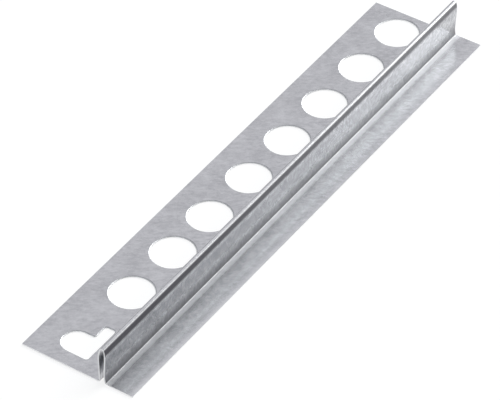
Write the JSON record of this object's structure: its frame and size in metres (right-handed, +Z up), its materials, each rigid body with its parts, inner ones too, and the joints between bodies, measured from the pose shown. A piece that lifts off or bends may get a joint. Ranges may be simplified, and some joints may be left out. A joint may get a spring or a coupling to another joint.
{
  "type": "shadow gap drywall bead",
  "caption": "Folded galvanised sheet bead: a wide flange with punched round holes, a doubled hollow upstand and a narrow plain flange that forms a shadow gap beside plasterboard.",
  "frame": {"origin": "bottom centre of the whole piece, on the plane that both flanges lie on", "axes": "+X across the strip towards the narrow flange, +Y along its length away from the end with the cut-out, +Z up along the upstand"},
  "size_m": [0.0426, 0.2034, 0.015],
  "materials": {
    "galvanised_sheet": "galvanised, semi-gloss, fine mottling"
  },
  "bodies": {
    "root": {"shadow_gap_bead": "galvanised_sheet"}
  },
  "joints": []
}
